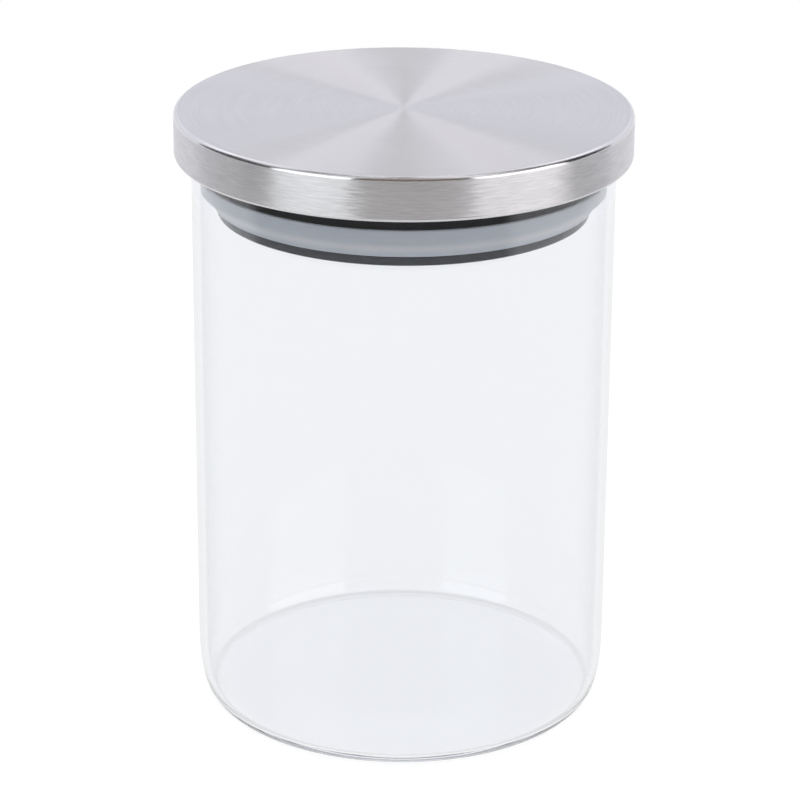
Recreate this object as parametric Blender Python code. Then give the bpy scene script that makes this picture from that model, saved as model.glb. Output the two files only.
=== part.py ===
"""A one-litre glass storage jar with a push-in lid of brushed steel.

Four pieces: the glass jar, the steel cap, the moulded insert inside the cap and the silicone seal ring round the insert.
All are turned shapes about the Z axis, which stands on the table at the centre of the foot. Lengths are in metres.
"""

import math

import bmesh
import bpy
from mathutils import Matrix, Vector

# Glass jar
JAR_RADIUS = 0.0510
JAR_HEIGHT = 0.1440
JAR_WALL = 0.0019
BASE_THICKNESS = 0.0020
FOOT_CORNER_WIDTH = 0.0050
FOOT_CORNER_HEIGHT = 0.0180
INNER_CORNER_WIDTH = 0.0034
FOOT_RING_WIDTH = 0.0018
BASE_RISE = 0.0005
DISH_WIDTH = 0.0250
CORNER_POWER = 2.8

# Steel cap
SHEET = 0.0005
CAP_OVERHANG = 0.0040
CAP_CORNER_RADIUS = 0.0012
SKIRT_OVERLAP = 0.0041
HEM_RADIUS = 0.0008
HEM_LEG = 0.0010

# Moulded insert
FLANGE_THICKNESS = 0.0016
STANDOFF = 0.0039
OUTER_WALL = 0.0012
OUTER_WALL_CHAMFER = 0.0009
PLUG_DEPTH = 0.0177
PLUG_CLEARANCE = 0.0042
PLUG_FLANGE_THICKNESS = 0.0023
PLUG_EDGE_RADIUS = 0.0007
NECK_STEP = 0.0009
GROOVE_DEPTH = 0.0020
GROOVE_HEIGHT = 0.0044
INSERT_WALL = 0.0018
INSERT_FILLET = 0.0015
FLOOR_THICKNESS = 0.0016
GATE_RADIUS = 0.0030
GATE_DEPTH = 0.0004
HUB_RADIUS = 0.0060
RIB_THICKNESS = 0.0012
RIB_HEIGHT = 0.0030
RIB_COUNT = 6

# Seal ring
LIP_THICKNESS = 0.0008
LIP_ROOT_PROUD = 0.0009
LIP_FLARE_HEIGHT = 0.0048
LIP_BAND_HEIGHT = 0.0025

# Gaps that keep neighbours apart, and the overlap of shapes that become one
SEAT_GAP = 0.0003
JOIN_OVERLAP = 0.0005

# Faces round each turned piece, and along its round stretches
TURN_STEPS = 64
CORNER_STEPS = 8
SMALL_STEPS = 4
SHARP_ANGLE = math.radians(35)
MERGE_DISTANCE = 1e-6

# Radii and heights that follow from the sizes above
BORE_RADIUS = JAR_RADIUS - JAR_WALL
FLANGE_Z = JAR_HEIGHT + SEAT_GAP
FLANGE_TOP_Z = FLANGE_Z + FLANGE_THICKNESS
INSERT_TOP_Z = FLANGE_TOP_Z + STANDOFF
CAP_UNDERSIDE_Z = INSERT_TOP_Z + SEAT_GAP
CAP_TOP_Z = CAP_UNDERSIDE_Z + SHEET
SKIRT_BOTTOM_Z = JAR_HEIGHT - SKIRT_OVERLAP
HEM_TOP_Z = SKIRT_BOTTOM_Z + HEM_RADIUS + HEM_LEG
CAP_RADIUS = JAR_RADIUS + CAP_OVERHANG
INSERT_RADIUS = CAP_RADIUS - SHEET - SEAT_GAP
PLUG_RADIUS = BORE_RADIUS - PLUG_CLEARANCE
NECK_RADIUS = PLUG_RADIUS - NECK_STEP
GROOVE_RADIUS = NECK_RADIUS - GROOVE_DEPTH
PLUG_BOTTOM_Z = JAR_HEIGHT - PLUG_DEPTH
GROOVE_BOTTOM_Z = PLUG_BOTTOM_Z + PLUG_FLANGE_THICKNESS
GROOVE_TOP_Z = GROOVE_BOTTOM_Z + GROOVE_HEIGHT


def clear_scene():
    """Removes whatever the file held before."""
    for old in list(bpy.data.objects):
        bpy.data.objects.remove(old, do_unlink=True)


def material(name, colour, roughness, metallic=0.0, transmission=0.0):
    """A Principled material with the piece's colour and gloss."""
    made = bpy.data.materials.new(name)
    made.use_nodes = True
    shader = made.node_tree.nodes["Principled BSDF"]
    shader.inputs["Base Color"].default_value = (*colour, 1.0)
    shader.inputs["Roughness"].default_value = roughness
    shader.inputs["Metallic"].default_value = metallic
    shader.inputs["Transmission Weight"].default_value = transmission
    return made


def arc(centre, radius, start, end, steps):
    """Points of a round stretch of an outline, from one angle in degrees to another, both ends included."""
    points = []
    for step in range(steps + 1):
        angle = math.radians(start + (end - start) * step / steps)
        points.append((centre[0] + radius * math.cos(angle), centre[1] + radius * math.sin(angle)))
    return points


def soft_corner(foot_radius, width, foot_z, height, steps):
    """Points of a drawn-in corner, from the end of the straight wall down to the base.

    A quarter of a superellipse: it leaves the wall so gently that no line shows there.
    """
    points = []
    for step in range(steps + 1):
        angle = math.radians(90) * step / steps
        across = max(math.cos(angle), 0.0) ** (2 / CORNER_POWER)
        down = math.sin(angle) ** (2 / CORNER_POWER)
        points.append((foot_radius + width * across, foot_z + height * (1 - down)))
    return points


def turned_mesh(outline, closed):
    """A bmesh of the outline of (radius, height) points, spun once round the Z axis.

    An outline that starts and ends on the axis is left open there. Any other is closed into a ring.
    """
    mesh = bmesh.new()
    verts = [mesh.verts.new((radius, 0.0, height)) for radius, height in outline]
    pairs = list(zip(verts, verts[1:]))
    if closed:
        pairs.append((verts[-1], verts[0]))
    edges = [mesh.edges.new(pair) for pair in pairs]
    bmesh.ops.spin(
        mesh,
        geom=verts + edges,
        cent=Vector(),
        axis=Vector((0.0, 0.0, 1.0)),
        angle=math.radians(360),
        steps=TURN_STEPS,
        use_merge=True,
    )
    bmesh.ops.remove_doubles(mesh, verts=mesh.verts, dist=MERGE_DISTANCE)
    bmesh.ops.recalc_face_normals(mesh, faces=mesh.faces)
    return mesh


def add_object(name, mesh, look=None):
    """Turns a bmesh into an object of that name, shaded smooth up to SHARP_ANGLE."""
    data = bpy.data.meshes.new(name)
    mesh.to_mesh(data)
    mesh.free()
    data.shade_smooth()
    data.set_sharp_from_angle(angle=SHARP_ANGLE)
    if look:
        data.materials.append(look)
    made = bpy.data.objects.new(name, data)
    bpy.context.scene.collection.objects.link(made)
    return made


def join_to(target, tool):
    """Unites a tool object with the target, and keeps the tool itself out of the model."""
    tool.hide_render = True
    tool.display_type = "WIRE"
    union = target.modifiers.new(f"join {tool.name}", "BOOLEAN")
    union.operation = "UNION"
    union.solver = "EXACT"
    union.object = tool


def jar_outline():
    """Glass: from the raised underside out over the foot, up the wall, round the rim and down the bore."""
    foot_outer = JAR_RADIUS - FOOT_CORNER_WIDTH
    foot_inner = foot_outer - FOOT_RING_WIDTH
    outline = [(0.0, BASE_RISE), (foot_inner - DISH_WIDTH, BASE_RISE), (foot_inner, 0.0)]
    outer_corner = soft_corner(foot_outer, FOOT_CORNER_WIDTH, 0.0, FOOT_CORNER_HEIGHT, CORNER_STEPS)
    outline += reversed(outer_corner)
    rim_radius = JAR_WALL / 2
    rim_centre = (JAR_RADIUS - rim_radius, JAR_HEIGHT - rim_radius)
    outline += arc(rim_centre, rim_radius, 0, 180, 2 * SMALL_STEPS)
    inner_corner_height = FOOT_CORNER_HEIGHT - BASE_THICKNESS
    inner_foot = BORE_RADIUS - INNER_CORNER_WIDTH
    outline += soft_corner(inner_foot, INNER_CORNER_WIDTH, BASE_THICKNESS, inner_corner_height, CORNER_STEPS)
    floor_top = BASE_THICKNESS + BASE_RISE / 2
    outline += [(inner_foot - DISH_WIDTH, floor_top), (0.0, floor_top)]
    return outline


def cap_outline():
    """Steel sheet: its outer side from the centre of the top to the rolled edge, then its inner side back."""
    top_corner = (CAP_RADIUS - CAP_CORNER_RADIUS, CAP_TOP_Z - CAP_CORNER_RADIUS)
    hem = (CAP_RADIUS - HEM_RADIUS, SKIRT_BOTTOM_Z + HEM_RADIUS)
    hem_inner = HEM_RADIUS - SHEET
    leg_radius = CAP_RADIUS - 2 * HEM_RADIUS
    outline = [(0.0, CAP_TOP_Z)]
    outline += arc(top_corner, CAP_CORNER_RADIUS, 90, 0, CORNER_STEPS)
    outline += arc(hem, HEM_RADIUS, 0, -180, 2 * SMALL_STEPS)
    outline += [(leg_radius, HEM_TOP_Z), (leg_radius + SHEET, HEM_TOP_Z)]
    outline += arc(hem, hem_inner, -180, 0, SMALL_STEPS)
    outline += arc(top_corner, CAP_CORNER_RADIUS - SHEET, 0, 90, SMALL_STEPS)
    outline.append((0.0, CAP_UNDERSIDE_Z))
    return outline


def insert_outline():
    """Insert: from the gate mark out over the floor, up past the seal groove, round the outer wall and down inside."""
    edge = (PLUG_RADIUS - PLUG_EDGE_RADIUS, PLUG_BOTTOM_Z + PLUG_EDGE_RADIUS)
    wall_foot_z = HEM_TOP_Z + SEAT_GAP
    wall_inner = INSERT_RADIUS - OUTER_WALL
    outline = [
        (0.0, PLUG_BOTTOM_Z + GATE_DEPTH),
        (GATE_RADIUS, PLUG_BOTTOM_Z + GATE_DEPTH),
        (GATE_RADIUS + GATE_DEPTH, PLUG_BOTTOM_Z),
    ]
    outline += arc(edge, PLUG_EDGE_RADIUS, -90, 0, SMALL_STEPS)
    outline += [
        (PLUG_RADIUS, GROOVE_BOTTOM_Z),
        (GROOVE_RADIUS, GROOVE_BOTTOM_Z),
        (GROOVE_RADIUS, GROOVE_TOP_Z),
        (NECK_RADIUS, GROOVE_TOP_Z),
        (NECK_RADIUS, FLANGE_Z),
        (wall_inner, FLANGE_Z),
        (wall_inner, wall_foot_z),
        (INSERT_RADIUS, wall_foot_z),
        (INSERT_RADIUS, INSERT_TOP_Z - OUTER_WALL_CHAMFER),
        (INSERT_RADIUS - OUTER_WALL_CHAMFER, INSERT_TOP_Z),
        (wall_inner, INSERT_TOP_Z),
        (wall_inner, FLANGE_TOP_Z),
        (NECK_RADIUS - INSERT_WALL, FLANGE_TOP_Z),
        (NECK_RADIUS - INSERT_WALL, GROOVE_TOP_Z + INSERT_WALL),
        (GROOVE_RADIUS - INSERT_WALL, GROOVE_TOP_Z),
    ]
    floor_z = PLUG_BOTTOM_Z + FLOOR_THICKNESS
    fillet = (GROOVE_RADIUS - INSERT_WALL - INSERT_FILLET, floor_z + INSERT_FILLET)
    outline += arc(fillet, INSERT_FILLET, 0, -90, SMALL_STEPS)
    outline.append((0.0, floor_z))
    return outline


def lip_side(root_radius, tip_radius, root_z, band_z, steps):
    """One side of the lip, from its root up to where it runs along the bore: upright, flaring, upright again."""
    points = []
    for step in range(steps + 1):
        share = step / steps
        swing = (1 - math.cos(math.pi * share)) / 2
        points.append((root_radius + (tip_radius - root_radius) * swing, root_z + (band_z - root_z) * share))
    return points


def seal_outline():
    """Seal: root in the groove, and one lip that flares out to the bore and follows it upwards."""
    root_bottom_z = GROOVE_BOTTOM_Z + SEAT_GAP
    root_top_z = GROOVE_TOP_Z - SEAT_GAP
    root_inner = GROOVE_RADIUS + SEAT_GAP
    lip_root = NECK_RADIUS + SEAT_GAP
    tip_radius = BORE_RADIUS - SEAT_GAP
    band_z = root_bottom_z + LIP_FLARE_HEIGHT
    tip_z = band_z + LIP_BAND_HEIGHT
    tip_round = LIP_THICKNESS / 2
    tip_centre = (tip_radius - tip_round, tip_z - tip_round)
    outline = [(root_inner, root_top_z), (root_inner, root_bottom_z)]
    outline += lip_side(PLUG_RADIUS + LIP_ROOT_PROUD, tip_radius, root_bottom_z, band_z, CORNER_STEPS)
    outline += arc(tip_centre, tip_round, 0, 180, SMALL_STEPS)
    inner_side = lip_side(lip_root, tip_radius - LIP_THICKNESS, root_top_z, band_z + tip_round, SMALL_STEPS)
    outline += reversed(inner_side)
    return outline


def rib_mesh():
    """Ribs that run from the hub to the insert's wall, a little sunk into both and into the floor."""
    inner = HUB_RADIUS - JOIN_OVERLAP
    outer = GROOVE_RADIUS - INSERT_WALL + JOIN_OVERLAP
    floor_z = PLUG_BOTTOM_Z + FLOOR_THICKNESS
    low = floor_z - JOIN_OVERLAP
    height = RIB_HEIGHT + JOIN_OVERLAP
    mesh = bmesh.new()
    for number in range(RIB_COUNT):
        made = bmesh.ops.create_cube(mesh, size=1.0)
        bmesh.ops.scale(mesh, verts=made["verts"], vec=Vector((outer - inner, RIB_THICKNESS, height)))
        bmesh.ops.translate(mesh, verts=made["verts"], vec=Vector(((inner + outer) / 2, 0.0, low + height / 2)))
        turn = Matrix.Rotation(math.radians(360) * number / RIB_COUNT, 3, "Z")
        bmesh.ops.rotate(mesh, verts=made["verts"], cent=Vector(), matrix=turn)
    return mesh


def hub_mesh():
    """The round boss in which the ribs meet."""
    floor_z = PLUG_BOTTOM_Z + FLOOR_THICKNESS
    outline = [
        (0.0, floor_z - JOIN_OVERLAP),
        (HUB_RADIUS, floor_z - JOIN_OVERLAP),
        (HUB_RADIUS, floor_z + RIB_HEIGHT + JOIN_OVERLAP),
        (0.0, floor_z + RIB_HEIGHT + JOIN_OVERLAP),
    ]
    return turned_mesh(outline, closed=False)


def make_jar():
    """The glass body."""
    glass = material("clear borosilicate glass", (0.95, 0.97, 0.97), 0.02, transmission=1.0)
    return add_object("glass_jar", turned_mesh(jar_outline(), closed=False), glass)


def make_cap():
    """The pressed steel cap with its rolled edge."""
    steel = material("brushed stainless steel", (0.60, 0.59, 0.58), 0.32, metallic=1.0)
    return add_object("steel_cap", turned_mesh(cap_outline(), closed=False), steel)


def make_insert():
    """The moulded insert: a turned shell with a hub and ribs on its floor."""
    plastic = material("black moulded plastic", (0.020, 0.021, 0.023), 0.30)
    insert = add_object("plug_insert", turned_mesh(insert_outline(), closed=False), plastic)
    join_to(insert, add_object("hub tool", hub_mesh()))
    join_to(insert, add_object("rib tool", rib_mesh()))
    return insert


def make_seal():
    """The silicone ring with its one lip."""
    silicone = material("milky silicone", (0.52, 0.55, 0.60), 0.45)
    return add_object("seal_ring", turned_mesh(seal_outline(), closed=True), silicone)


def main():
    """Builds the four pieces, and hangs the lid's three on an empty on the lid's axis."""
    clear_scene()
    make_jar()
    lid = bpy.data.objects.new("lid axis", None)
    bpy.context.scene.collection.objects.link(lid)
    for piece in (make_cap(), make_insert(), make_seal()):
        piece.parent = lid


main()
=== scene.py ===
"""Finishes and fine meshes for a one-litre glass storage jar with a push-in lid of brushed steel.

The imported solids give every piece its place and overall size. Each piece is turned again here with finer steps, gets
the small rounds that a press or a mould leaves, and is dressed in the finish of the real one. Lengths are in metres.
"""

import logging
import math
from abc import ABC, abstractmethod
from dataclasses import dataclass, field
from enum import Enum
from typing import Any

import bmesh
import bpy
from mathutils import Matrix, Vector


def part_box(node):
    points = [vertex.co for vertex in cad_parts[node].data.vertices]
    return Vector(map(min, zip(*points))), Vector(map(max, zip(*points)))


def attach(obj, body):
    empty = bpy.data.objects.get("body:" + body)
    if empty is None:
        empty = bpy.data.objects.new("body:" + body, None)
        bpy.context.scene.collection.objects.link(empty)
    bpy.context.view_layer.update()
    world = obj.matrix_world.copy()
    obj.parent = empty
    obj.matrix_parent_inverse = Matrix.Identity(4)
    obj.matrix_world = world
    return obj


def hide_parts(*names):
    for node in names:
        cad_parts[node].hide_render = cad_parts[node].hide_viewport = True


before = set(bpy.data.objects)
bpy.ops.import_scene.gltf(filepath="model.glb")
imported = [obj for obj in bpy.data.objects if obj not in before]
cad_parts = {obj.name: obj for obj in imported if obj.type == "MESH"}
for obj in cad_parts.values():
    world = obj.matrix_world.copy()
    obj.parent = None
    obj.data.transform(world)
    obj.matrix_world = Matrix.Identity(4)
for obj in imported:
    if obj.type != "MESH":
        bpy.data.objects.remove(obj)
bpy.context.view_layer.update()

LOG = logging.getLogger("storage jar")

Point = tuple[float, float]
Outline = list[Point]
Colour = tuple[float, float, float, float]
Tree = bpy.types.NodeTree
Socket = bpy.types.NodeSocket

MILLIMETRE = 0.001
# Faces that touch on the real jar stand this far apart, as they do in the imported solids.
SEAT_GAP = 0.3 * MILLIMETRE
MERGE_DISTANCE = 0.001 * MILLIMETRE
SHARP_ANGLE = math.radians(30)
TURN_STEPS = 256
ZENITH = 90.0
WHITE: Colour = (1.0, 1.0, 1.0, 1.0)
# A noise texture's colour swings about this one.
NOISE_MIDDLE = (0.5, 0.5, 0.5)
# The Mix node has sockets of one name for each data type, so its colours are reached by their numbers.
COLOUR_A, COLOUR_B, MIXED_COLOUR = 6, 7, 2
# Light that the inner face of the wall mirrors has gone through two faces of glass, in and out. Light that comes
# straight through the jar has gone through four.
ONE_WALL_DEPTH = 2.5


class Body(Enum):
    """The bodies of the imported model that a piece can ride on."""

    JAR = "jar"
    LID = "lid"


class Slot(Enum):
    """The material slots of the record."""

    GLASS = "glass"
    STEEL = "steel"
    PLASTIC = "insert_plastic"
    SILICONE = "seal_silicone"


def linear(hex_colour: str) -> Colour:
    """Turns an sRGB hex colour into the linear one that the shaders take.

    Args:
        hex_colour: Six hex digits, such as "C8C6C2".

    Returns:
        Red, green, blue and an alpha of one, in linear light.
    """
    channels = []
    # The sRGB curve is a straight line near black, and a power above that.
    for start in (0, 2, 4):
        value = int(hex_colour[start:start + 2], 16) / 255
        channels.append(value / 12.92 if value <= 0.04045 else ((value + 0.055) / 1.055) ** 2.4)
    return (channels[0], channels[1], channels[2], 1.0)


def add_node(tree: Tree, kind: str, inputs: dict[Any, Any] | None = None, **settings: Any) -> bpy.types.Node:
    """Adds one node to a tree, with its settings, its socket values and its links.

    Args:
        tree: The node tree of a material or the world.
        kind: The node's type name without the "ShaderNode" in front.
        inputs: Socket name or number to a value, or to the output socket that is linked to it.
        **settings: Properties of the node itself.

    Returns:
        The new node.
    """
    node = tree.nodes.new("ShaderNode" + kind)
    for name, value in settings.items():
        setattr(node, name, value)
    for name, value in (inputs or {}).items():
        if isinstance(value, Socket):
            tree.links.new(value, node.inputs[name])
        else:
            node.inputs[name].default_value = value
    return node


def window(tree: Tree, value: Socket, rise: Point, fall: Point) -> Socket:
    """Gives a mask that goes softly from zero to one and back to zero as a value grows.

    Args:
        tree: The node tree of a material or the world.
        value: The value.
        rise: Where the mask starts to rise, and where it is one.
        fall: Where the mask starts to fall, and where it is zero again.

    Returns:
        The socket of the mask.
    """
    up = add_node(
        tree, "MapRange", {"Value": value, "From Min": rise[0], "From Max": rise[1]}, interpolation_type="SMOOTHSTEP"
    )
    down = add_node(
        tree,
        "MapRange",
        {"Value": value, "From Min": fall[0], "From Max": fall[1], "To Min": 1.0, "To Max": 0.0},
        interpolation_type="SMOOTHSTEP",
    )
    both = add_node(tree, "Math", {0: up.outputs[0], 1: down.outputs[0]}, operation="MULTIPLY")
    return both.outputs[0]


def arc(centre: Point, radius: float, start: float, end: float, steps: int) -> Outline:
    """Gives the points of a round stretch of an outline.

    Args:
        centre: Centre of the round, as radius and height.
        radius: Radius of the round.
        start: First angle in degrees, from the outward direction.
        end: Last angle in degrees.
        steps: Number of straight stretches.

    Returns:
        The points, both ends included.
    """
    points = []
    for step in range(steps + 1):
        angle = math.radians(start + (end - start) * step / steps)
        points.append((centre[0] + radius * math.cos(angle), centre[1] + radius * math.sin(angle)))
    return points


def swing(share: float) -> float:
    """Turns an even share of the way into one with a soft start and a soft end."""
    return (1 - math.cos(math.pi * share)) / 2


def soft_corner(foot_radius: float, width: float, foot_z: float, height: float, power: float, steps: int) -> Outline:
    """Gives a drawn-in corner of blown glass, a quarter of a superellipse.

    Args:
        foot_radius: Radius at which the corner reaches the base.
        width: How far the wall stands out from that radius.
        foot_z: Height of the base.
        height: Height of the corner.
        power: Squareness of the corner, 2 for an ellipse.
        steps: Number of straight stretches.

    Returns:
        The points, from the end of the straight wall down to the base.
    """
    points = []
    for step in range(steps + 1):
        angle = math.radians(90) * step / steps
        across = max(math.cos(angle), 0.0) ** (2 / power)
        down = math.sin(angle) ** (2 / power)
        points.append((foot_radius + width * across, foot_z + height * (1 - down)))
    return points


def rounded(outline: Outline, radius: float, corners: set[int], steps: int) -> Outline:
    """Rounds the named corners of an outline, as a mould tool's edges are rounded.

    Args:
        outline: The outline with its sharp corners.
        radius: Radius of each round.
        corners: Numbers of the points to round.
        steps: Number of straight stretches in a round.

    Returns:
        The outline with each of those points replaced by a curve that starts and ends on its two sides.
    """
    points: Outline = []
    for number, point in enumerate(outline):
        if number not in corners:
            points.append(point)
            continue
        corner = Vector(point)
        before = (Vector(outline[number - 1]) - corner).normalized() * radius
        after = (Vector(outline[(number + 1) % len(outline)]) - corner).normalized() * radius
        for step in range(steps + 1):
            share = step / steps
            place = corner + before * (1 - share) ** 2 + after * share**2
            points.append((place.x, place.y))
    return points


def turned(outline: Outline, closed: bool, steps: int = TURN_STEPS) -> bmesh.types.BMesh:
    """Spins an outline once round the Z axis.

    Args:
        outline: Points as radius and height.
        closed: True for a ring, False for an outline that starts and ends on the axis.
        steps: Faces round the axis.

    Returns:
        A closed bmesh with its faces outwards.
    """
    mesh = bmesh.new()
    verts = [mesh.verts.new((radius, 0.0, height)) for radius, height in outline]
    pairs = list(zip(verts, verts[1:]))
    if closed:
        pairs.append((verts[-1], verts[0]))
    edges = [mesh.edges.new(pair) for pair in pairs]
    axis = Vector((0.0, 0.0, 1.0))
    turn = math.radians(360)
    bmesh.ops.spin(mesh, geom=verts + edges, cent=Vector(), axis=axis, angle=turn, steps=steps, use_merge=True)
    bmesh.ops.remove_doubles(mesh, verts=mesh.verts, dist=MERGE_DISTANCE)
    bmesh.ops.recalc_face_normals(mesh, faces=mesh.faces)
    return mesh


def as_object(name: str, mesh: bmesh.types.BMesh) -> bpy.types.Object:
    """Turns a bmesh into an object at the origin, smooth up to SHARP_ANGLE, and frees the bmesh.

    Args:
        name: Name of the object.
        mesh: The bmesh, with the piece in its place.

    Returns:
        The object, linked to the scene.
    """
    data = bpy.data.meshes.new(name)
    mesh.to_mesh(data)
    mesh.free()
    data.shade_smooth()
    data.set_sharp_from_angle(angle=SHARP_ANGLE)
    made = bpy.data.objects.new(name, data)
    bpy.context.scene.collection.objects.link(made)
    return made


def united(base: bpy.types.Object, tools: list[bpy.types.Object]) -> None:
    """Makes the tools part of the base's mesh, and removes the tools.

    Args:
        base: The object that keeps its name.
        tools: Objects that overlap it.
    """
    for tool in tools:
        join = base.modifiers.new("join", "BOOLEAN")
        join.operation = "UNION"
        join.solver = "EXACT"
        join.object = tool
    bpy.context.view_layer.update()
    evaluated = base.evaluated_get(bpy.context.evaluated_depsgraph_get())
    joined = bpy.data.meshes.new_from_object(evaluated)
    base.modifiers.clear()
    base.data = joined
    joined.set_sharp_from_angle(angle=SHARP_ANGLE)
    for tool in tools:
        bpy.data.objects.remove(tool)


@dataclass(frozen=True)
class Finish(ABC):
    """A finish that can make its own material."""

    name: str

    def material(self) -> bpy.types.Material:
        """Makes the material, with a Principled shader that dress_shader then sets up.

        Returns:
            The material, named for the real one.
        """
        made = bpy.data.materials.new(self.name)
        made.use_nodes = True
        tree = made.node_tree
        self.dress_shader(tree, tree.nodes["Principled BSDF"])
        return made

    @abstractmethod
    def dress_shader(self, tree: Tree, shader: bpy.types.Node) -> None:
        """Sets the shader's sockets and adds the nodes that drive them.

        Args:
            tree: The material's node tree.
            shader: Its Principled shader.
        """


@dataclass(frozen=True)
class GrainedFinish(Finish):
    """A finish whose gloss wanders a little about its middle value, in a fine grain."""

    roughness: float
    roughness_spread: float
    grain_width: float
    grain_detail: float

    def grain(self, tree: Tree, shader: bpy.types.Node, place: Socket) -> None:
        """Drives the shader's roughness by the grain.

        Args:
            tree: The material's node tree.
            shader: Its Principled shader.
            place: The place on the piece, in Object coordinates.
        """
        grain = add_node(
            tree, "TexNoise", {"Vector": place, "Scale": 1 / self.grain_width, "Detail": self.grain_detail}
        )
        gloss = add_node(
            tree,
            "MapRange",
            {
                "Value": grain.outputs["Fac"],
                "To Min": self.roughness * (1 - self.roughness_spread),
                "To Max": self.roughness * (1 + self.roughness_spread),
            },
        )
        tree.links.new(gloss.outputs[0], shader.inputs["Roughness"])


@dataclass(frozen=True)
class BorosilicateGlass(Finish):
    """Drawn borosilicate tube with a pressed base: clear, hardly tinted, with a faint ripple from the drawing.

    The tint deepens where the wall turns away from the eye: partly as the light goes a long way through the glass
    there, and partly as painted shade that darkens the jar's edges. The edge range says at which share of that turn it
    starts and ends.
    """

    name: str = "clear borosilicate glass"
    tint: str = "F7F8FA"
    painted_edge_tint: str = "E2E5EA"
    edge_range: Point = (0.60, 0.85)
    refraction: float = 1.473
    ripple_width: float = 14 * MILLIMETRE
    ripple_height: float = 0.004 * MILLIMETRE
    ripple_detail: float = 1.0

    def dress_shader(self, tree: Tree, shader: bpy.types.Node) -> None:
        """Sets clear glass, whose reflections swim a little where the wall isn't quite true.

        Args:
            tree: The material's node tree.
            shader: Its Principled shader.
        """
        # Painted shade: the base colour darkens towards the jar's edges, where the wall turns away from the eye.
        facing = add_node(tree, "LayerWeight", {"Blend": 0.5})
        graze = add_node(
            tree,
            "MapRange",
            {"Value": facing.outputs["Facing"], "From Min": self.edge_range[0], "From Max": self.edge_range[1]},
        )
        edge_shade = add_node(
            tree,
            "Mix",
            {0: graze.outputs[0], COLOUR_A: linear(self.tint), COLOUR_B: linear(self.painted_edge_tint)},
            data_type="RGBA",
        )
        tree.links.new(edge_shade.outputs[MIXED_COLOUR], shader.inputs["Base Color"])
        shader.inputs["Transmission Weight"].default_value = 1.0
        shader.inputs["IOR"].default_value = self.refraction
        shader.inputs["Roughness"].default_value = 0.0
        place = add_node(tree, "TexCoord")
        ripple = add_node(
            tree,
            "TexNoise",
            {"Vector": place.outputs["Object"], "Scale": 1 / self.ripple_width, "Detail": self.ripple_detail},
        )
        bump = add_node(
            tree, "Bump", {"Height": ripple.outputs["Fac"], "Strength": 1.0, "Distance": self.ripple_height}
        )
        tree.links.new(bump.outputs["Normal"], shader.inputs["Normal"])


@dataclass(frozen=True)
class GroundRim(GrainedFinish):
    """The rim, ground true and half polished by a flame: pale satin that scatters the light from the wall."""

    name: str = "satin ground glass"
    roughness: float = 0.55
    roughness_spread: float = 0.15
    grain_width: float = 0.12 * MILLIMETRE
    grain_detail: float = 2.0
    colour: str = "FAFBFB"
    refraction: float = 1.473
    clearness: float = 0.06

    def dress_shader(self, tree: Tree, shader: bpy.types.Node) -> None:
        """Sets a pale satin that is hardly clear.

        Args:
            tree: The material's node tree.
            shader: Its Principled shader.
        """
        shader.inputs["Base Color"].default_value = linear(self.colour)
        shader.inputs["IOR"].default_value = self.refraction
        shader.inputs["Transmission Weight"].default_value = self.clearness
        place = add_node(tree, "TexCoord")
        self.grain(tree, shader, place.outputs["Object"])


@dataclass(frozen=True)
class BrushLines:
    """Lines that a brush leaves round the axis: a noise, drawn out along them.

    A brush's lines are some 0.05 mm apart. They are drawn over four times as coarse, as finer ones wouldn't show.
    The wander is the radius of the circle that the noise is read on, so it says how often a line changes on its way
    round. The detail and the fineness are the noise's own.
    """

    spacing: float
    wander: float
    detail: float
    fineness: float

    def noise(self, tree: Tree, outward: Socket, across: Socket) -> bpy.types.Node:
        """Makes the noise.

        Args:
            tree: The material's node tree.
            outward: The level direction away from the axis, of length one.
            across: The place across the lines, in metres.

        Returns:
            The noise's node.
        """
        loop = add_node(tree, "VectorMath", {0: outward, "Scale": self.wander}, operation="SCALE")
        around = add_node(tree, "SeparateXYZ", {0: loop.outputs[0]})
        line = add_node(tree, "Math", {0: across, 1: 1 / self.spacing}, operation="MULTIPLY")
        strand = add_node(
            tree, "CombineXYZ", {"X": around.outputs["X"], "Y": around.outputs["Y"], "Z": line.outputs[0]}
        )
        return add_node(
            tree,
            "TexNoise",
            {"Vector": strand.outputs[0], "Scale": 1.0, "Detail": self.detail, "Roughness": self.fineness},
        )


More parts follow.
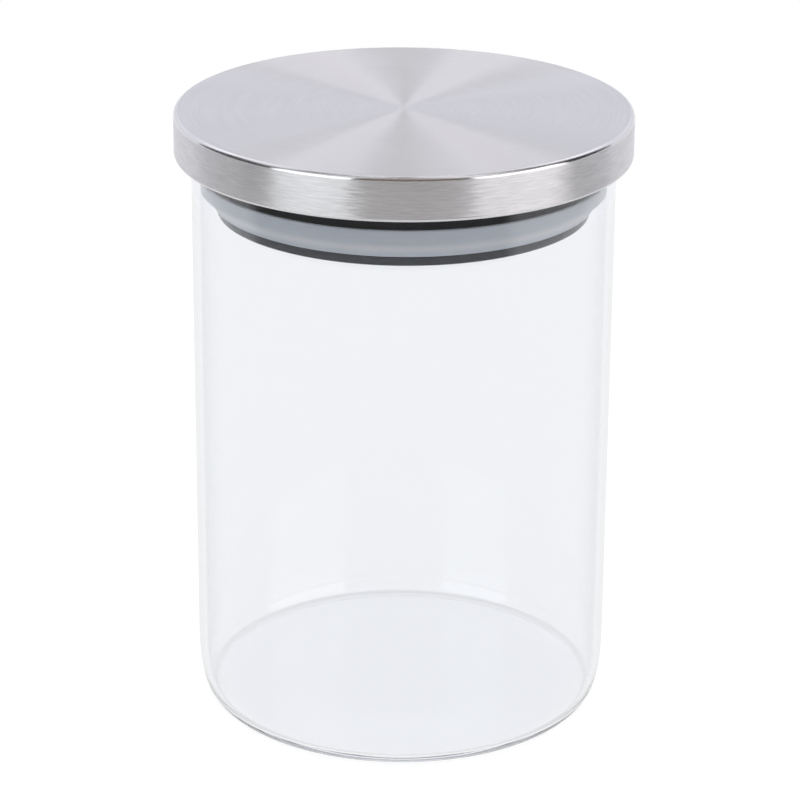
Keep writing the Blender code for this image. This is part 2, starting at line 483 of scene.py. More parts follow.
@dataclass(frozen=True)
class BrushedSteel(Finish):
    """Stainless sheet brushed while it spins: fine rings on the top, fine level lines round the skirt.

    The grit leaves the steel wide open to light from across the lines and nearly a mirror along them, so the top
    shows wedges of light and shade and the skirt shows the room as upright bands, frayed by its streaks. The brush
    hardly reaches the pressed corner and the rolled edge, which stay glossy and catch thin bright and dark lines.
    Scratches are all over the metal, and streaks are the stronger lines of the skirt.
    """

    name: str = "spun-brushed stainless steel"
    colour: str = "E0DFE2"
    dark_colour: str = "D1D0D3"
    roughness: float = 0.40
    roughness_spread: float = 0.08
    bend_roughness: float = 0.19
    anisotropy: float = 1.0
    scratches: BrushLines = BrushLines(0.22 * MILLIMETRE, 2.2, 3.0, 0.65)
    scratch_range: Point = (0.3, 0.7)
    along_tilt: float = 0.05
    across_tilt: float = 0.06
    streaks: BrushLines = BrushLines(0.22 * MILLIMETRE, 13.0, 2.0, 0.5)
    streak_tilt: float = 0.20
    streak_tone: float = 3.2
    # These are read on how level a face lies, from 0 on the skirt to 1 on the top.
    skirt_fade: Point = (0.10, 0.35)
    bend_rise: Point = (0.04, 0.25)
    bend_fall: Point = (0.93, 0.995)

    def dress_shader(self, tree: Tree, shader: bpy.types.Node) -> None:
        """Sets the metal, and lays the scratches and the streaks over it.

        Args:
            tree: The material's node tree.
            shader: Its Principled shader.
        """
        shader.inputs["Metallic"].default_value = 1.0
        shader.inputs["Anisotropic"].default_value = self.anisotropy
        place = add_node(tree, "TexCoord")
        spot = add_node(tree, "SeparateXYZ", {0: place.outputs["Object"]})
        level = add_node(tree, "CombineXYZ", {"X": spot.outputs["X"], "Y": spot.outputs["Y"]})
        outward = add_node(tree, "VectorMath", {0: level.outputs[0]}, operation="NORMALIZE")
        reach = add_node(tree, "VectorMath", {0: level.outputs[0]}, operation="LENGTH")
        ring = add_node(tree, "Math", {0: reach.outputs["Value"], 1: spot.outputs["Z"]}, operation="SUBTRACT")
        scratches = self.scratches.noise(tree, outward.outputs[0], ring.outputs[0])
        streaks = self.streaks.noise(tree, outward.outputs[0], spot.outputs["Z"])

        facing = add_node(tree, "SeparateXYZ", {0: place.outputs["Normal"]})
        levelness = add_node(tree, "Math", {0: facing.outputs["Z"]}, operation="ABSOLUTE")
        fade = add_node(
            tree,
            "MapRange",
            {
                "Value": levelness.outputs[0],
                "From Min": self.skirt_fade[0],
                "From Max": self.skirt_fade[1],
                "To Min": 1.0,
                "To Max": 0.0,
            },
            interpolation_type="SMOOTHSTEP",
        )
        bend = window(tree, levelness.outputs[0], self.bend_rise, self.bend_fall)
        uneven = add_node(tree, "VectorMath", {0: scratches.outputs["Color"], 1: NOISE_MIDDLE}, operation="SUBTRACT")
        scratch = add_node(tree, "SeparateXYZ", {0: uneven.outputs[0]})
        stray = add_node(tree, "VectorMath", {0: streaks.outputs["Color"], 1: NOISE_MIDDLE}, operation="SUBTRACT")
        skirt_only = add_node(
            tree, "VectorMath", {0: stray.outputs[0], "Scale": fade.outputs[0]}, operation="SCALE"
        )
        streak = add_node(tree, "SeparateXYZ", {0: skirt_only.outputs[0]})
        self.lean_surface(tree, shader, outward.outputs[0], scratch, streak)
        self.shade_metal(tree, shader, scratches.outputs["Fac"], streak.outputs["Y"], bend)

    def lean_surface(
        self, tree: Tree, shader: bpy.types.Node, outward: Socket, scratch: bpy.types.Node, streak: bpy.types.Node
    ) -> None:
        """Sets the direction of the brushing, and leans the surface a little in each scratch and streak.

        Args:
            tree: The material's node tree.
            shader: Its Principled shader.
            outward: The level direction away from the axis, of length one.
            scratch: The scratches' lean, along them as X and across them as Y.
            streak: The streaks' lean, along them as X.
        """
        surface = add_node(tree, "NewGeometry")
        around = add_node(tree, "VectorMath", {0: (0.0, 0.0, 1.0), 1: outward}, operation="CROSS_PRODUCT")
        across = add_node(
            tree, "VectorMath", {0: around.outputs[0], 1: surface.outputs["Normal"]}, operation="CROSS_PRODUCT"
        )
        tree.links.new(across.outputs[0], shader.inputs["Tangent"])
        fine_lean = add_node(tree, "Math", {0: scratch.outputs["X"], 1: self.along_tilt}, operation="MULTIPLY")
        along_lean = add_node(
            tree,
            "Math",
            {0: streak.outputs["X"], 1: self.streak_tilt, 2: fine_lean.outputs[0]},
            operation="MULTIPLY_ADD",
        )
        across_lean = add_node(tree, "Math", {0: scratch.outputs["Y"], 1: self.across_tilt}, operation="MULTIPLY")
        along = add_node(
            tree, "VectorMath", {0: around.outputs[0], "Scale": along_lean.outputs[0]}, operation="SCALE"
        )
        sideways = add_node(
            tree, "VectorMath", {0: across.outputs[0], "Scale": across_lean.outputs[0]}, operation="SCALE"
        )
        leaned = add_node(tree, "VectorMath", {0: surface.outputs["Normal"], 1: along.outputs[0]}, operation="ADD")
        tilted = add_node(tree, "VectorMath", {0: leaned.outputs[0], 1: sideways.outputs[0]}, operation="ADD")
        normal = add_node(tree, "VectorMath", {0: tilted.outputs[0]}, operation="NORMALIZE")
        tree.links.new(normal.outputs[0], shader.inputs["Normal"])

    def shade_metal(self, tree: Tree, shader: bpy.types.Node, scratch: Socket, streak: Socket, bend: Socket) -> None:
        """Sets the metal's colour and its gloss, line by line.

        Args:
            tree: The material's node tree.
            shader: Its Principled shader.
            scratch: The scratches' shade, from zero to one.
            streak: The streaks' shade, about zero.
            bend: One on the pressed corner and the rolled edge, zero on the brushed faces.
        """
        tone = add_node(tree, "Math", {0: streak, 1: self.streak_tone, 2: scratch}, operation="MULTIPLY_ADD")
        shade = add_node(
            tree,
            "Mix",
            {0: tone.outputs[0], COLOUR_A: linear(self.dark_colour), COLOUR_B: linear(self.colour)},
            data_type="RGBA",
        )
        tree.links.new(shade.outputs[MIXED_COLOUR], shader.inputs["Base Color"])
        gloss = add_node(
            tree,
            "MapRange",
            {
                "Value": scratch,
                "From Min": self.scratch_range[0],
                "From Max": self.scratch_range[1],
                "To Min": self.roughness * (1 + self.roughness_spread),
                "To Max": self.roughness * (1 - self.roughness_spread),
            },
        )
        gloss_or_bend = add_node(
            tree, "MapRange", {"Value": bend, "To Min": gloss.outputs[0], "To Max": self.bend_roughness}
        )
        tree.links.new(gloss_or_bend.outputs[0], shader.inputs["Roughness"])


@dataclass(frozen=True)
class MouldedPlastic(GrainedFinish):
    """Injection-moulded ABS, near black, with the soft gloss of a polished tool, mottled by the plastic's flow."""

    name: str = "black moulded ABS"
    roughness: float = 0.24
    roughness_spread: float = 0.2
    grain_width: float = 0.35 * MILLIMETRE
    grain_detail: float = 2.0
    colour: str = "34363A"
    refraction: float = 1.54

    def dress_shader(self, tree: Tree, shader: bpy.types.Node) -> None:
        """Sets a dark gloss, broken a little by the flow of the plastic in the mould.

        Args:
            tree: The material's node tree.
            shader: Its Principled shader.
        """
        shader.inputs["Base Color"].default_value = linear(self.colour)
        shader.inputs["IOR"].default_value = self.refraction
        place = add_node(tree, "TexCoord")
        self.grain(tree, shader, place.outputs["Object"])


@dataclass(frozen=True)
class Silicone(GrainedFinish):
    """Compression-moulded silicone, milky and part clear, with a satin skin.

    The base colour carries painted light and shade: lighter in a band low on the flare, where the lip catches the
    light from below, and darker towards its two ends, as painted shade under the cap's edge and where it meets the
    insert.
    """

    name: str = "milky silicone"
    roughness: float = 0.32
    roughness_spread: float = 0.15
    grain_width: float = 1.5 * MILLIMETRE
    grain_detail: float = 3.0
    colour: str = "F4F7FB"
    shaded_colour: str = "D9DFE6"
    lit_band_height: float = 131.2 * MILLIMETRE
    lit_band_reach: float = 2.4 * MILLIMETRE
    refraction: float = 1.41
    clearness: float = 0.15
    sheen: float = 1.0
    sheen_roughness: float = 0.45

    def dress_shader(self, tree: Tree, shader: bpy.types.Node) -> None:
        """Sets a satin skin over a body that lets some of the light through.

        Args:
            tree: The material's node tree.
            shader: Its Principled shader.
        """
        shader.inputs["IOR"].default_value = self.refraction
        shader.inputs["Transmission Weight"].default_value = self.clearness
        shader.inputs["Sheen Weight"].default_value = self.sheen
        shader.inputs["Sheen Roughness"].default_value = self.sheen_roughness
        place = add_node(tree, "TexCoord")
        spot = add_node(tree, "SeparateXYZ", {0: place.outputs["Object"]})
        # Painted light and shade: a lighter band round the lip at one height, darker above and below it.
        off_centre = add_node(tree, "Math", {0: spot.outputs["Z"], 1: self.lit_band_height}, operation="SUBTRACT")
        distance = add_node(tree, "Math", {0: off_centre.outputs[0]}, operation="ABSOLUTE")
        lit_band = add_node(
            tree,
            "MapRange",
            {"Value": distance.outputs[0], "From Max": self.lit_band_reach, "To Min": 1.0, "To Max": 0.0},
            interpolation_type="SMOOTHSTEP",
        )
        milk = add_node(
            tree,
            "Mix",
            {0: lit_band.outputs[0], COLOUR_A: linear(self.shaded_colour), COLOUR_B: linear(self.colour)},
            data_type="RGBA",
        )
        tree.links.new(milk.outputs[MIXED_COLOUR], shader.inputs["Base Color"])
        self.grain(tree, shader, place.outputs["Object"])


@dataclass
class Piece(ABC):
    """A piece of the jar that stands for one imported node."""

    node: str
    body: Body
    slot: Slot
    finish: Finish

    @abstractmethod
    def build(self) -> bpy.types.Object:
        """Makes the piece's mesh in its place."""

    def dress(self, piece: bpy.types.Object) -> None:
        """Gives the piece its finish, and hands it to its body in the frame.

        Args:
            piece: The built piece.
        """
        piece.data.materials.clear()
        piece.data.materials.append(self.finish.material())
        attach(piece, self.body.value)
        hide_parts(self.node)

    def make(self) -> bpy.types.Object:
        """Builds and dresses the piece.

        Returns:
            The finished piece.
        """
        piece = self.build()
        self.dress(piece)
        return piece


@dataclass
class GlassJar(Piece):
    """The jar's body: a straight drawn tube with a rounded satin rim and a pressed base with a raised middle."""

    node: str = "glass_jar"
    body: Body = Body.JAR
    slot: Slot = Slot.GLASS
    finish: Finish = field(default_factory=BorosilicateGlass)
    rim_finish: Finish = field(default_factory=GroundRim)
    wall: float = 1.9 * MILLIMETRE
    base: float = 2.0 * MILLIMETRE
    corner_width: float = 5.0 * MILLIMETRE
    corner_height: float = 18.0 * MILLIMETRE
    inner_corner_width: float = 3.4 * MILLIMETRE
    corner_power: float = 2.8
    ring_width: float = 1.8 * MILLIMETRE
    rise: float = 0.5 * MILLIMETRE
    dish_width: float = 25.0 * MILLIMETRE
    dish_steps: int = 16
    guard: float = 0.4 * MILLIMETRE
    corner_steps: int = 40
    rim_steps: int = 20

    def dish(self, start: Point, end: Point) -> Outline:
        """Gives a soft swing from one height to another, as glass sinks in a mould.

        Args:
            start: Radius and height at which it starts.
            end: Radius and height at which it ends.

        Returns:
            The points, both ends included.
        """
        points = []
        for step in range(self.dish_steps + 1):
            share = step / self.dish_steps
            points.append((start[0] + (end[0] - start[0]) * share, start[1] + (end[1] - start[1]) * swing(share)))
        return points

    def outline(self) -> Outline:
        """Gives the glass from the raised underside out over the foot, up the wall, round the rim and down inside.

        A point a guard's length from each end of a straight stretch keeps the smooth shading of the rounds off it,
        because a wall whose two sides are shaded as if they leaned traps light and turns black at the jar's edges.

        Returns:
            The points, from the axis below to the axis above.
        """
        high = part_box(self.node)[1]
        radius, height = high.x, high.z
        foot_outer = radius - self.corner_width
        foot_inner = foot_outer - self.ring_width
        outline = [(0.0, self.rise)]
        outline += self.dish((foot_inner - self.dish_width, self.rise), (foot_inner, 0.0))
        outline.append((foot_inner + self.guard, 0.0))
        outline += reversed(
            soft_corner(foot_outer, self.corner_width, 0.0, self.corner_height, self.corner_power, self.corner_steps)
        )
        rim = self.wall / 2
        wall_low = self.corner_height + self.guard
        wall_high = height - rim - self.guard
        outline += [(radius, wall_low), (radius, wall_high)]
        outline += arc((radius - rim, height - rim), rim, 0, 180, self.rim_steps)
        outline += [(radius - self.wall, wall_high), (radius - self.wall, wall_low)]
        inner_height = self.corner_height - self.base
        inner_foot = radius - self.wall - self.inner_corner_width
        outline += soft_corner(
            inner_foot, self.inner_corner_width, self.base, inner_height, self.corner_power, self.corner_steps
        )
        floor_top = self.base + self.rise / 2
        inner_end = inner_foot - self.guard
        outline += self.dish((inner_end, self.base), (inner_end - self.dish_width, floor_top))
        outline.append((0.0, floor_top))
        return outline

    def build(self) -> bpy.types.Object:
        """Turns the glass round its axis."""
        return as_object("glass_body", turned(self.outline(), closed=False))

    def dress(self, piece: bpy.types.Object) -> None:
        """Gives the body its clear finish, and the faces of the rim their satin one.

        Args:
            piece: The built jar.
        """
        super().dress(piece)
        piece.data.materials.append(self.rim_finish.material())
        rim_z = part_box(self.node)[1].z - self.wall / 2
        for face in piece.data.polygons:
            face.material_index = 1 if face.center.z > rim_z else 0


@dataclass
class SteelCap(Piece):
    """The pressed cap: a flat top, a small corner, a short skirt and an edge rolled inwards."""

    node: str = "steel_cap"
    body: Body = Body.LID
    slot: Slot = Slot.STEEL
    finish: Finish = field(default_factory=BrushedSteel)
    sheet: float = 0.5 * MILLIMETRE
    corner_radius: float = 1.2 * MILLIMETRE
    hem_radius: float = 0.8 * MILLIMETRE
    hem_leg: float = 1.0 * MILLIMETRE
    corner_steps: int = 16
    hem_steps: int = 20

    def build(self) -> bpy.types.Object:
        """Turns the sheet: its outer side down to the rolled edge, then its inner side back to the middle.

        Returns:
            The cap's object.
        """
        low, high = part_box(self.node)
        radius, top_z, bottom_z = high.x, high.z, low.z
        corner = (radius - self.corner_radius, top_z - self.corner_radius)
        hem = (radius - self.hem_radius, bottom_z + self.hem_radius)
        leg_radius = radius - 2 * self.hem_radius
        leg_top = bottom_z + self.hem_radius + self.hem_leg
        outline = [(0.0, top_z)]
        outline += arc(corner, self.corner_radius, 90, 0, self.corner_steps)
        outline += arc(hem, self.hem_radius, 0, -180, self.hem_steps)
        outline += [(leg_radius, leg_top), (leg_radius + self.sheet, leg_top)]
        outline += arc(hem, self.hem_radius - self.sheet, -180, 0, self.hem_steps)
        outline += arc(corner, self.corner_radius - self.sheet, 0, 90, self.corner_steps)
        outline.append((0.0, top_z - self.sheet))
        return as_object("brushed_cap", turned(outline, closed=False))


@dataclass
class PlugInsert(Piece):
    """The moulded insert: a flange on the rim, a wall inside the cap, a neck with the seal's groove, and a floor."""

    node: str = "plug_insert"
    body: Body = Body.LID
    slot: Slot = Slot.PLASTIC
    finish: Finish = field(default_factory=MouldedPlastic)
    flange: float = 1.6 * MILLIMETRE
    outer_wall: float = 1.2 * MILLIMETRE
    chamfer: float = 0.9 * MILLIMETRE
    plug_radius: float = 44.9 * MILLIMETRE
    plug_flange: float = 2.3 * MILLIMETRE
    edge_radius: float = 0.7 * MILLIMETRE
    neck_step: float = 0.9 * MILLIMETRE
    groove_depth: float = 2.0 * MILLIMETRE
    groove_height: float = 4.4 * MILLIMETRE
    wall: float = 1.8 * MILLIMETRE
    fillet: float = 1.5 * MILLIMETRE
    floor: float = 1.6 * MILLIMETRE
    gate_radius: float = 3.0 * MILLIMETRE
    gate_depth: float = 0.4 * MILLIMETRE
    hub_radius: float = 6.0 * MILLIMETRE
    rib_width: float = 1.2 * MILLIMETRE
    rib_height: float = 3.0 * MILLIMETRE
    rib_count: int = 6
    overlap: float = 0.5 * MILLIMETRE
    tool_round: float = 0.25 * MILLIMETRE
    small_steps: int = 12
    turn_steps: int = 128
    hub_steps: int = 96
    round_steps: int = 4

    def outline(self) -> Outline:
        """Gives the shell from the gate mark over the floor, up past the groove, round the wall and down inside.

        Returns:
            The points, from the axis below to the axis above.
        """
        low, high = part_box(self.node)
        rim_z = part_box("glass_jar")[1].z
        hem_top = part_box("steel_cap")[0].z + SteelCap.hem_radius + SteelCap.hem_leg
        radius, top_z, bottom_z = high.x, high.z, low.z
        neck_radius = self.plug_radius - self.neck_step
        groove_radius = neck_radius - self.groove_depth
        groove_bottom = bottom_z + self.plug_flange
        groove_top = groove_bottom + self.groove_height
        flange_z = rim_z + SEAT_GAP
        wall_foot = hem_top + SEAT_GAP
        wall_inner = radius - self.outer_wall
        floor_z = bottom_z + self.floor
        sharp = [
            (self.plug_radius, groove_bottom),
            (groove_radius, groove_bottom),
            (groove_radius, groove_top),
            (neck_radius, groove_top),
            (neck_radius, flange_z),
            (wall_inner, flange_z),
            (wall_inner, wall_foot),
            (radius, wall_foot),
            (radius, top_z - self.chamfer),
            (radius - self.chamfer, top_z),
            (wall_inner, top_z),
            (wall_inner, flange_z + self.flange),
            (neck_radius - self.wall, flange_z + self.flange),
            (neck_radius - self.wall, groove_top + self.wall),
            (groove_radius - self.wall, groove_top),
        ]
        edge = (self.plug_radius - self.edge_radius, bottom_z + self.edge_radius)
        gate = [
            (0.0, bottom_z + self.gate_depth),
            (self.gate_radius, bottom_z + self.gate_depth),
            (self.gate_radius + self.gate_depth, bottom_z),
        ]
        inside = (groove_radius - self.wall - self.fillet, floor_z + self.fillet)
        start = len(gate) + self.small_steps + 1
        outline = gate + arc(edge, self.edge_radius, -90, 0, self.small_steps) + sharp
        outline += arc(inside, self.fillet, 0, -90, self.small_steps) + [(0.0, floor_z)]
        corners = {start + number for number in range(len(sharp) - 1)}
        return rounded(outline, self.tool_round, corners, self.round_steps)

    def hub(self) -> bpy.types.Object:
        """Makes the boss in which the ribs meet, sunk a little into the floor.

        Returns:
            The boss's object.
        """
        floor_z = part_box(self.node)[0].z + self.floor
        low, top = floor_z - self.overlap, floor_z + self.rib_height + self.overlap
        outline = [(0.0, low), (self.hub_radius, low), (self.hub_radius, top), (0.0, top)]
        return as_object("hub tool", turned(outline, closed=False, steps=self.hub_steps))

    def ribs(self) -> bpy.types.Object:
        """Makes the ribs from the hub to the wall, sunk a little into both and into the floor.

        Returns:
            The object of all the ribs.
        """
        floor_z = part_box(self.node)[0].z + self.floor
        groove_radius = self.plug_radius - self.neck_step - self.groove_depth
        inner = self.hub_radius - self.overlap
        outer = groove_radius - self.wall + self.overlap
        low = floor_z - self.overlap
        height = self.rib_height + self.overlap
        middle = Vector(((inner + outer) / 2, 0.0, low + height / 2))
        mesh = bmesh.new()
        for number in range(self.rib_count):
            verts = bmesh.ops.create_cube(mesh, size=1.0)["verts"]
            bmesh.ops.scale(mesh, verts=verts, vec=Vector((outer - inner, self.rib_width, height)))
            bmesh.ops.translate(mesh, verts=verts, vec=middle)
            turn = Matrix.Rotation(math.radians(360) * number / self.rib_count, 3, "Z")
            bmesh.ops.rotate(mesh, verts=verts, cent=Vector(), matrix=turn)
        return as_object("rib tool", mesh)

    def build(self) -> bpy.types.Object:
        """Turns the shell and joins the hub and the ribs to its floor.

        Returns:
            The insert's object.
        """
        shell = as_object("moulded_insert", turned(self.outline(), closed=False, steps=self.turn_steps))
        hub = self.hub()
        united(hub, [self.ribs()])
        united(shell, [hub])
        return shell


@dataclass
class SealRing(Piece):
    """The silicone ring: a root in the groove and one lip that flares out to the glass and follows it upwards."""

    node: str = "seal_ring"
    body: Body = Body.LID
    slot: Slot = Slot.SILICONE
    finish: Finish = field(default_factory=Silicone)
    lip: float = 0.8 * MILLIMETRE
    root_proud: float = 0.9 * MILLIMETRE
    flare_height: float = 4.8 * MILLIMETRE
    corner_round: float = 0.2 * MILLIMETRE
    flare_steps: int = 32
    tip_steps: int = 12
    round_steps: int = 5

    def flare(self, root: Point, band: Point) -> Outline:
        """Gives one side of the lip: upright at the root, flaring, then upright again along the glass.

        Args:
            root: Radius and height at which it leaves the root.
            band: Radius and height at which it turns upright along the glass.

        Returns:
            The points, both ends included.
        """
        points = []
        for step in range(self.flare_steps + 1):
            share = step / self.flare_steps
            points.append((root[0] + (band[0] - root[0]) * swing(share), root[1] + (band[1] - root[1]) * share))
        return points

    def build(self) -> bpy.types.Object:
        """Turns the ring from its root in the groove out along the lip and back.

        Returns:
            The ring's object.
        """
        low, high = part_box(self.node)
        insert = PlugInsert()
        neck_radius = insert.plug_radius - insert.neck_step
        root_inner = neck_radius - insert.groove_depth + SEAT_GAP
        root_top = low.z + insert.groove_height - 2 * SEAT_GAP
        band_z = low.z + self.flare_height
        tip = self.lip / 2
        outline = [(root_inner, root_top), (root_inner, low.z)]
        outline += self.flare((insert.plug_radius + self.root_proud, low.z), (high.x, band_z))
        outline += arc((high.x - tip, high.z - tip), tip, 0, 180, self.tip_steps)
        inner_side = self.flare((neck_radius + SEAT_GAP, root_top), (high.x - self.lip, band_z + tip))
        outline += reversed(inner_side)
        corners = {0, 1, 2, len(outline) - 1}
        ring = turned(rounded(outline, self.corner_round, corners, self.round_steps), closed=True)
        return as_object("lip_seal", ring)


@dataclass(frozen=True)
class Panel:
    """A patch of the studio round the jar, as the metal and the glass see it.

    Azimuths are in degrees from the camera's side, to the right positive. Elevations are above the table. A panel
    with in_inner_face is also mirrored by the inner face of the glass wall, but isn't seen straight through the jar.
    """

    name: str
    azimuths: Point
    elevations: Point
    shade: tuple[float, float, float]
    azimuth_blur: float = 3.5
    elevation_blur: float = 10.0
    in_inner_face: bool = False


@dataclass
class Studio:
    """A white tent with a soft light at each side, open towards the camera, and the camera itself.

    The levels give the tent's light by its elevation above the table, and the plain level is the light on matt
    faces. Panels that are brighter than it show in glass too, by the share of panel_in_glass.
    """

    levels: tuple[tuple[float, tuple[float, float, float]], ...] = (
        (0.0, (0.97, 0.97, 0.99)),
        (8.0, (0.81, 0.82, 0.88)),
        (17.0, (1.00, 1.01, 1.08)),
        (28.0, (0.92, 0.93, 0.99)),
        (42.0, (1.54, 1.54, 1.59)),
        (65.0, (0.68, 0.68, 0.71)),
        (90.0, (2.50, 2.50, 2.58)),
    )
    plain_level: float = 1.0
    panels: tuple[Panel, ...] = (
        Panel("left gap", (-118.5, -67.2), (3.0, 110.0), (0.05, 0.05, 0.05)),
        Panel("left ceiling light", (-130.0, -84.0), (44.0, 64.0), (1.00, 1.00, 1.03), 8.0),
        Panel("left softbox", (-67.2, -25.1), (0.0, 36.0), (2.38, 2.47, 2.45)),
        Panel("left softbox above", (-67.2, -21.0), (36.0, 52.0), (0.55, 0.55, 0.56)),
        Panel("left light above", (-67.2, -21.0), (52.0, 110.0), (0.84, 0.84, 0.86)),
        Panel("camera side", (-25.1, 34.4), (2.0, 50.0), (0.15, 0.12, 0.09)),
        Panel("camera side above", (-25.1, 34.4), (50.0, 110.0), (0.50, 0.48, 0.45)),
        Panel("right softbox", (34.4, 86.5), (0.0, 36.0), (2.50, 2.40, 2.38)),
        Panel("right softbox above", (34.4, 86.5), (36.0, 52.0), (0.02, 0.02, 0.02)),
        Panel("right light above", (34.4, 86.5), (52.0, 110.0), (1.27, 1.27, 1.30)),
        Panel("right gap", (86.5, 121.1), (3.0, 110.0), (0.0, 0.0, 0.0)),
        Panel("back light, left", (-190.0, -173.0), (40.0, 57.0), (2.10, 2.10, 2.17), 8.0),
        Panel("back light, right", (173.0, 190.0), (40.0, 57.0), (2.10, 2.10, 2.17), 8.0),
        Panel("dark ceiling, left", (-190.0, -156.0), (61.0, 110.0), (0.34, 0.34, 0.34)),
        Panel("dark ceiling, right", (159.0, 190.0), (61.0, 110.0), (0.34, 0.34, 0.34)),
        Panel("past the table", (-88.0, 60.0), (-40.0, -13.5), (0.24, 0.24, 0.24), 12.0, 3.0, True),
    )
    panel_in_glass: float = 0.72
    light_bounces: int = 64
    floor_radius: float = 0.415
    floor_steps: int = 128
    floor_gap: float = 0.05 * MILLIMETRE
    floor_colour: str = "F4F4F4"
    # The table's own light and its shadows, for the camera and as metal and glass show them.
    floor_own_light: float = 0.86
    floor_shadow: float = 0.24
    glass_view_light: float = 0.94
    metal_view_light: Colour = (0.83, 0.83, 0.82, 1.0)
    glass_view_shadow: float = 0.07
    # A ring of painted shadow on the table under the jar's foot, which shows through the glass.
    painted_foot_shadow: Point = (47.3 * MILLIMETRE, 50.5 * MILLIMETRE)
    painted_foot_shadow_blur: float = 1.2 * MILLIMETRE
    painted_foot_shadow_share: float = 0.15
    # The camera that fits the outlines in the photograph, with its angles in radians.
    camera_place: tuple[float, float, float] = (-0.00053, -0.73723, 0.36734)
    camera_pitch: float = 0.3768
    camera_roll: float = 0.0066
    focal_pixels: float = 3210.28
    image_pixels: float = 800.0
    sensor: float = 36.0

    def camera(self) -> None:
        """Places the camera where the photograph was taken from."""
        data = bpy.data.cameras.new("product camera")
        data.sensor_width = self.sensor
        data.lens = self.focal_pixels * self.sensor / self.image_pixels
        camera = bpy.data.objects.new("product camera", data)
        pitch = Matrix.Rotation(math.radians(90) - self.camera_pitch, 4, "X")
        roll = Matrix.Rotation(self.camera_roll, 4, "Z")
        camera.matrix_world = Matrix.Translation(self.camera_place) @ pitch @ roll
        bpy.context.scene.collection.objects.link(camera)
        bpy.context.scene.camera = camera

    def band(self, tree: Tree, value: Socket, limits: Point, blur: float) -> Socket:
        """Gives a mask that is one between two limits, with a soft edge of the blur's width at each.

        Args:
            tree: The node tree of the world or the table.
            value: An angle in degrees or a distance in metres.
            limits: Lower and upper limit, in the value's unit.
            blur: Width of each edge, in the value's unit.

        Returns:
            The socket of the mask.
        """
        half = blur / 2
        rise, fall = ((limit - half, limit + half) for limit in limits)
        return window(tree, value, rise, fall)

    def backdrop(self, tree: Tree, elevation: Socket) -> Socket:
        """Gives the colour of the table, the backdrop and the light above, by their height.

        Args:
            tree: The world's node tree.
            elevation: The angle above the table, in degrees.

        Returns:
            The socket of the colour.
        """
        share = add_node(tree, "MapRange", {"Value": elevation, "From Max": ZENITH})
        ramp = add_node(tree, "ValToRGB", {0: share.outputs[0]})
        stops = ramp.color_ramp.elements
        while len(stops) < len(self.levels):
            stops.new(1.0)
        for stop, (height, shade) in zip(stops, self.levels):
            stop.position = height / ZENITH
            stop.color = (*shade, 1.0)
        return ramp.outputs["Color"]

    def direction(self, tree: Tree) -> tuple[Socket, Socket]:
        """Works out where on the tent a ray ends.

        Args:
            tree: The world's node tree.

        Returns:
            The sockets of its azimuth from the camera's side and its elevation above the table, in degrees.
        """
        place = add_node(tree, "TexCoord")
        way = add_node(tree, "SeparateXYZ", {0: place.outputs["Generated"]})
        forward = add_node(tree, "Math", {0: way.outputs["Y"], 1: -1.0}, operation="MULTIPLY")
        turn = add_node(tree, "Math", {0: way.outputs["X"], 1: forward.outputs[0]}, operation="ARCTAN2")
        azimuth = add_node(tree, "Math", {0: turn.outputs[0]}, operation="DEGREES")
        climb = add_node(tree, "Math", {0: way.outputs["Z"]}, operation="ARCSINE")
        elevation = add_node(tree, "Math", {0: climb.outputs[0]}, operation="DEGREES")
        return azimuth.outputs[0], elevation.outputs[0]

    def tent(self, tree: Tree, ray: bpy.types.Node) -> tuple[Socket, Socket]:
        """Paints the backdrop, and the panels on it.

        Args:
            tree: The world's node tree.
            ray: Its Light Path node.

        Returns:
            The sockets of the colour that metal mirrors and of the one that glass shows.
        """
        azimuth, elevation = self.direction(tree)
        one_wall = add_node(
            tree, "Math", {0: ray.outputs["Transmission Depth"], 1: ONE_WALL_DEPTH}, operation="LESS_THAN"
        )
        glint = add_node(tree, "MapRange", {"Value": ray.outputs["Diffuse Depth"], "To Min": self.panel_in_glass})
        mirrored = through = self.backdrop(tree, elevation)
        for panel in self.panels:
            shade = (*panel.shade, 1.0)
            wide = self.band(tree, azimuth, panel.azimuths, panel.azimuth_blur)
            tall = self.band(tree, elevation, panel.elevations, panel.elevation_blur)
            mask = add_node(tree, "Math", {0: wide, 1: tall}, operation="MULTIPLY")
            painted = add_node(
                tree,
                "Mix",
                {0: mask.outputs[0], COLOUR_A: mirrored, COLOUR_B: shade},
                data_type="RGBA",
                label=panel.name,
            )
            mirrored = painted.outputs[MIXED_COLOUR]
            if panel.in_inner_face or min(panel.shade) > self.plain_level:
                share = one_wall if panel.in_inner_face else glint
                seen = add_node(tree, "Math", {0: mask.outputs[0], 1: share.outputs[0]}, operation="MULTIPLY")
                lit = add_node(
                    tree, "Mix", {0: seen.outputs[0], COLOUR_A: through, COLOUR_B: shade}, data_type="RGBA"
                )
                through = lit.outputs[MIXED_COLOUR]
        return mirrored, through

    def world(self) -> None:
        """Hangs the tent: white to the camera, with the panels for metal and glass, and plain for matt faces."""
        world = bpy.data.worlds.new("studio tent")
        world.use_nodes = True
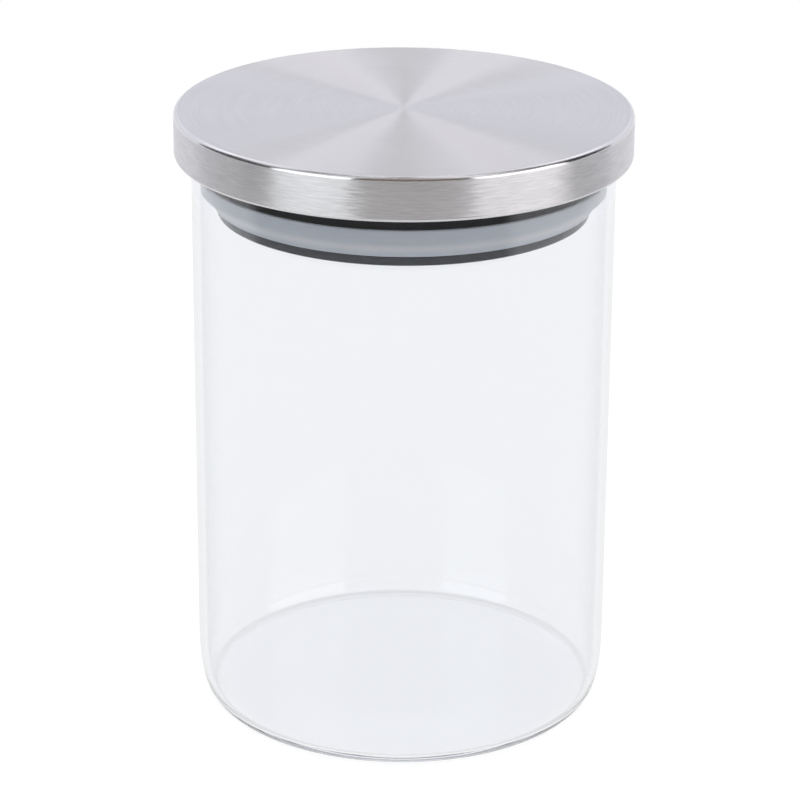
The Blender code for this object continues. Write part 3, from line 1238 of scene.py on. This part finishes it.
        # Each kind of ray has to read its own colour, and a map of the world's brightness would mix them.
        world.cycles.sampling_method = "NONE"
        bpy.context.scene.world = world
        tree = world.node_tree
        ray = add_node(tree, "LightPath")
        mirrored, through = self.tent(tree, ray)
        level = (self.plain_level,) * 3 + (1.0,)
        matt_or_metal = add_node(
            tree, "Mix", {0: ray.outputs["Is Glossy Ray"], COLOUR_A: level, COLOUR_B: mirrored}, data_type="RGBA"
        )
        or_glass = add_node(
            tree,
            "Mix",
            {
                0: ray.outputs["Is Transmission Ray"],
                COLOUR_A: matt_or_metal.outputs[MIXED_COLOUR],
                COLOUR_B: through,
            },
            data_type="RGBA",
        )
        or_camera = add_node(
            tree,
            "Mix",
            {0: ray.outputs["Is Camera Ray"], COLOUR_A: or_glass.outputs[MIXED_COLOUR], COLOUR_B: WHITE},
            data_type="RGBA",
        )
        tree.links.new(or_camera.outputs[MIXED_COLOUR], tree.nodes["Background"].inputs["Color"])

    def table_light(self, tree: Tree, ray: bpy.types.Node, mirrored: Socket) -> Socket:
        """Gives the colour of the table's own light, with a soft ring of painted shadow under the foot for glass.

        Args:
            tree: The table's node tree.
            ray: Its Light Path node.
            mirrored: One for rays that come from metal or glass.

        Returns:
            The socket of the colour.
        """
        place = add_node(tree, "TexCoord")
        reach = add_node(tree, "VectorMath", {0: place.outputs["Object"]}, operation="LENGTH")
        # Painted shadow: the table's light dims in a ring under the foot, for rays that come through glass.
        ring = self.band(tree, reach.outputs["Value"], self.painted_foot_shadow, self.painted_foot_shadow_blur)
        painted_foot_ring = add_node(
            tree,
            "MapRange",
            {
                "Value": ring,
                "To Min": self.glass_view_light,
                "To Max": self.glass_view_light * (1 - self.painted_foot_shadow_share),
            },
        )
        own = add_node(
            tree,
            "MapRange",
            {"Value": mirrored, "To Min": self.floor_own_light, "To Max": painted_foot_ring.outputs[0]},
        )
        metal = add_node(
            tree,
            "Math",
            {0: ray.outputs["Is Glossy Ray"], 1: ray.outputs["Is Transmission Ray"]},
            operation="SUBTRACT",
            use_clamp=True,
        )
        tone = add_node(
            tree,
            "Mix",
            {0: metal.outputs[0], COLOUR_A: own.outputs[0], COLOUR_B: self.metal_view_light},
            data_type="RGBA",
        )
        return tone.outputs[MIXED_COLOUR]

    def table_finish(self) -> bpy.types.Material:
        """Makes matt white that glows to the camera, the metal and the glass, and keeps only faint shadows there.

        Returns:
            The table's material.
        """
        material = bpy.data.materials.new("matt white table")
        material.use_nodes = True
        # The glow is there to be seen, and isn't a lamp for the jar.
        material.cycles.emission_sampling = "NONE"
        tree = material.node_tree
        tree.nodes.clear()
        ray = add_node(tree, "LightPath")
        mirrored = add_node(
            tree,
            "Math",
            {0: ray.outputs["Is Glossy Ray"], 1: ray.outputs["Is Transmission Ray"]},
            operation="ADD",
            use_clamp=True,
        )
        shown = add_node(
            tree, "Math", {0: mirrored.outputs[0], 1: ray.outputs["Is Camera Ray"]}, operation="ADD", use_clamp=True
        )
        matt = add_node(tree, "BsdfDiffuse", {"Color": linear(self.floor_colour)})
        shadow = add_node(
            tree,
            "MapRange",
            {"Value": mirrored.outputs[0], "To Min": self.floor_shadow, "To Max": self.glass_view_shadow},
        )
        dim = add_node(tree, "BsdfDiffuse", {"Color": shadow.outputs[0]})
        light = add_node(tree, "Emission", {"Color": self.table_light(tree, ray, mirrored.outputs[0])})
        bright = add_node(tree, "AddShader", {0: dim.outputs[0], 1: light.outputs[0]})
        look = add_node(tree, "MixShader", {0: shown.outputs[0], 1: matt.outputs[0], 2: bright.outputs[0]})
        add_node(tree, "OutputMaterial", {"Surface": look.outputs[0]})
        return material

    def floor(self) -> None:
        """Makes the white table, a hair below the jar's foot."""
        mesh = bmesh.new()
        bmesh.ops.create_circle(
            mesh, cap_ends=True, cap_tris=False, segments=self.floor_steps, radius=self.floor_radius
        )
        bmesh.ops.translate(mesh, verts=mesh.verts, vec=Vector((0.0, 0.0, -self.floor_gap)))
        table = as_object("white table", mesh)
        table.data.materials.append(self.table_finish())

    def make(self) -> None:
        """Builds the camera, the tent and the table."""
        self.camera()
        self.world()
        self.floor()
        cycles = bpy.context.scene.cycles
        cycles.max_bounces = self.light_bounces
        cycles.glossy_bounces = self.light_bounces
        cycles.transmission_bounces = self.light_bounces
        view = bpy.context.scene.view_settings
        view.view_transform = "Standard"
        LOG.info("studio: %d panels, table %.2f m across", len(self.panels), 2 * self.floor_radius)


def main() -> None:
    """Builds the jar's pieces and the studio, in that order, and reports them."""
    logging.basicConfig(level=logging.INFO, format="%(name)s: %(message)s")
    for part in (GlassJar(), SteelCap(), PlugInsert(), SealRing()):
        piece = part.make()
        size = piece.dimensions / MILLIMETRE
        LOG.info("%s: %d faces, %.1f x %.1f x %.1f mm", piece.name, len(piece.data.polygons), *size)
    Studio().make()


if __name__ == "__main__":
    main()
